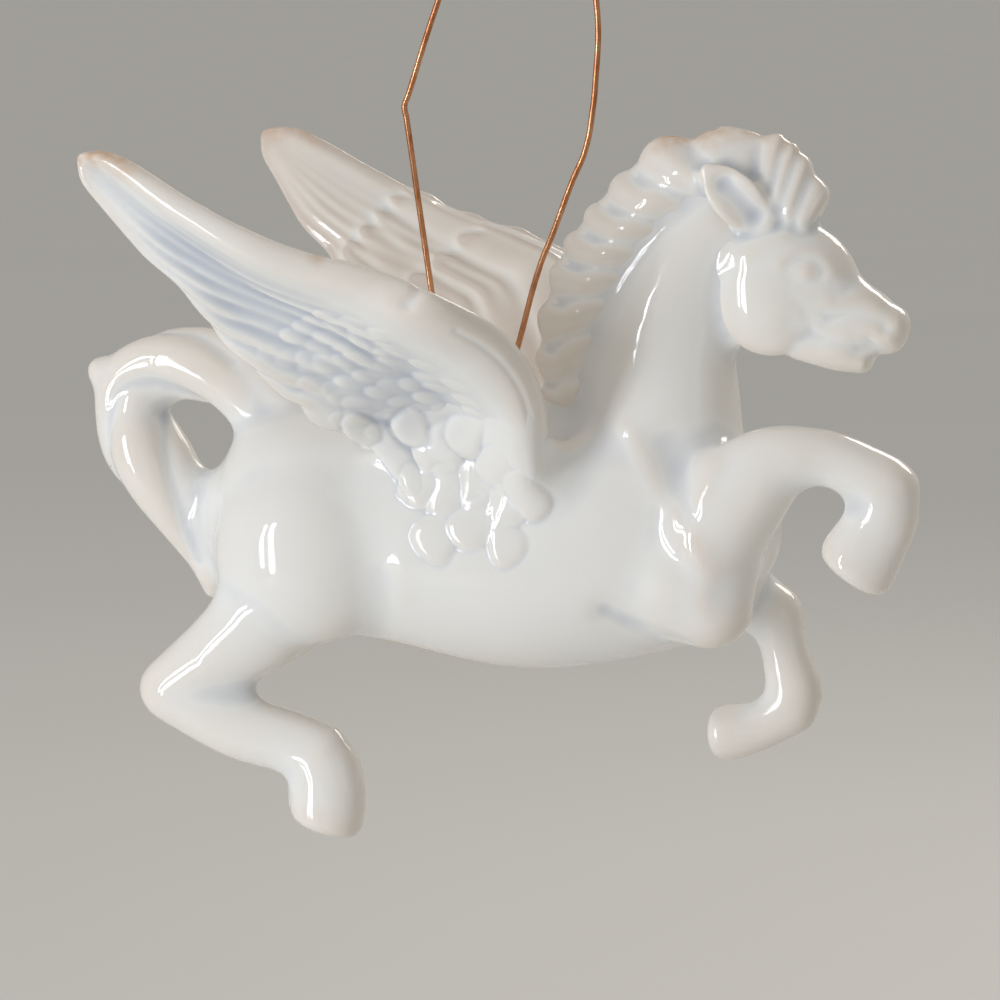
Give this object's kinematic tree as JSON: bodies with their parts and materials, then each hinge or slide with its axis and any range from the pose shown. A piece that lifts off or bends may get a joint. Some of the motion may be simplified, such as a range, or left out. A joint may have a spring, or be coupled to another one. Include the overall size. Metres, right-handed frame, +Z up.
{
  "type": "hanging winged horse figurine",
  "caption": "Glazed white porcelain winged horse in a leap, with feathered wings, rolled mane and twisted tail, hung on a kinked copper wire loop.",
  "frame": {"origin": "where a hook bears, under the top of the wire loop", "axes": "+X towards the horse's head, +Y to the horse's left, +Z up along the hanging line"},
  "size_m": [0.144, 0.0968, 0.158],
  "materials": {
    "porcelain": "clear gloss glaze over white porcelain",
    "copper": null
  },
  "bodies": {
    "hanger": {"hanging_wire": "copper"},
    "figurine": {"torso": "porcelain", "neck": "porcelain", "head": "porcelain", "right_ear": "porcelain", "left_ear": "porcelain", "mane": "porcelain", "forelock": "porcelain", "right_wing": "porcelain", "left_wing": "porcelain", "right_foreleg": "porcelain", "left_foreleg": "porcelain", "right_hind_leg": "porcelain", "left_hind_leg": "porcelain", "tail": "porcelain"}
  },
  "joints": [
    {"name": "sway", "type": "hinge", "parent": "hanger", "child": "figurine", "pos_m": [-0.0064, 0, -0.08776], "axis": [1, 0, 0], "range_deg": [-15, 15]}
  ]
}
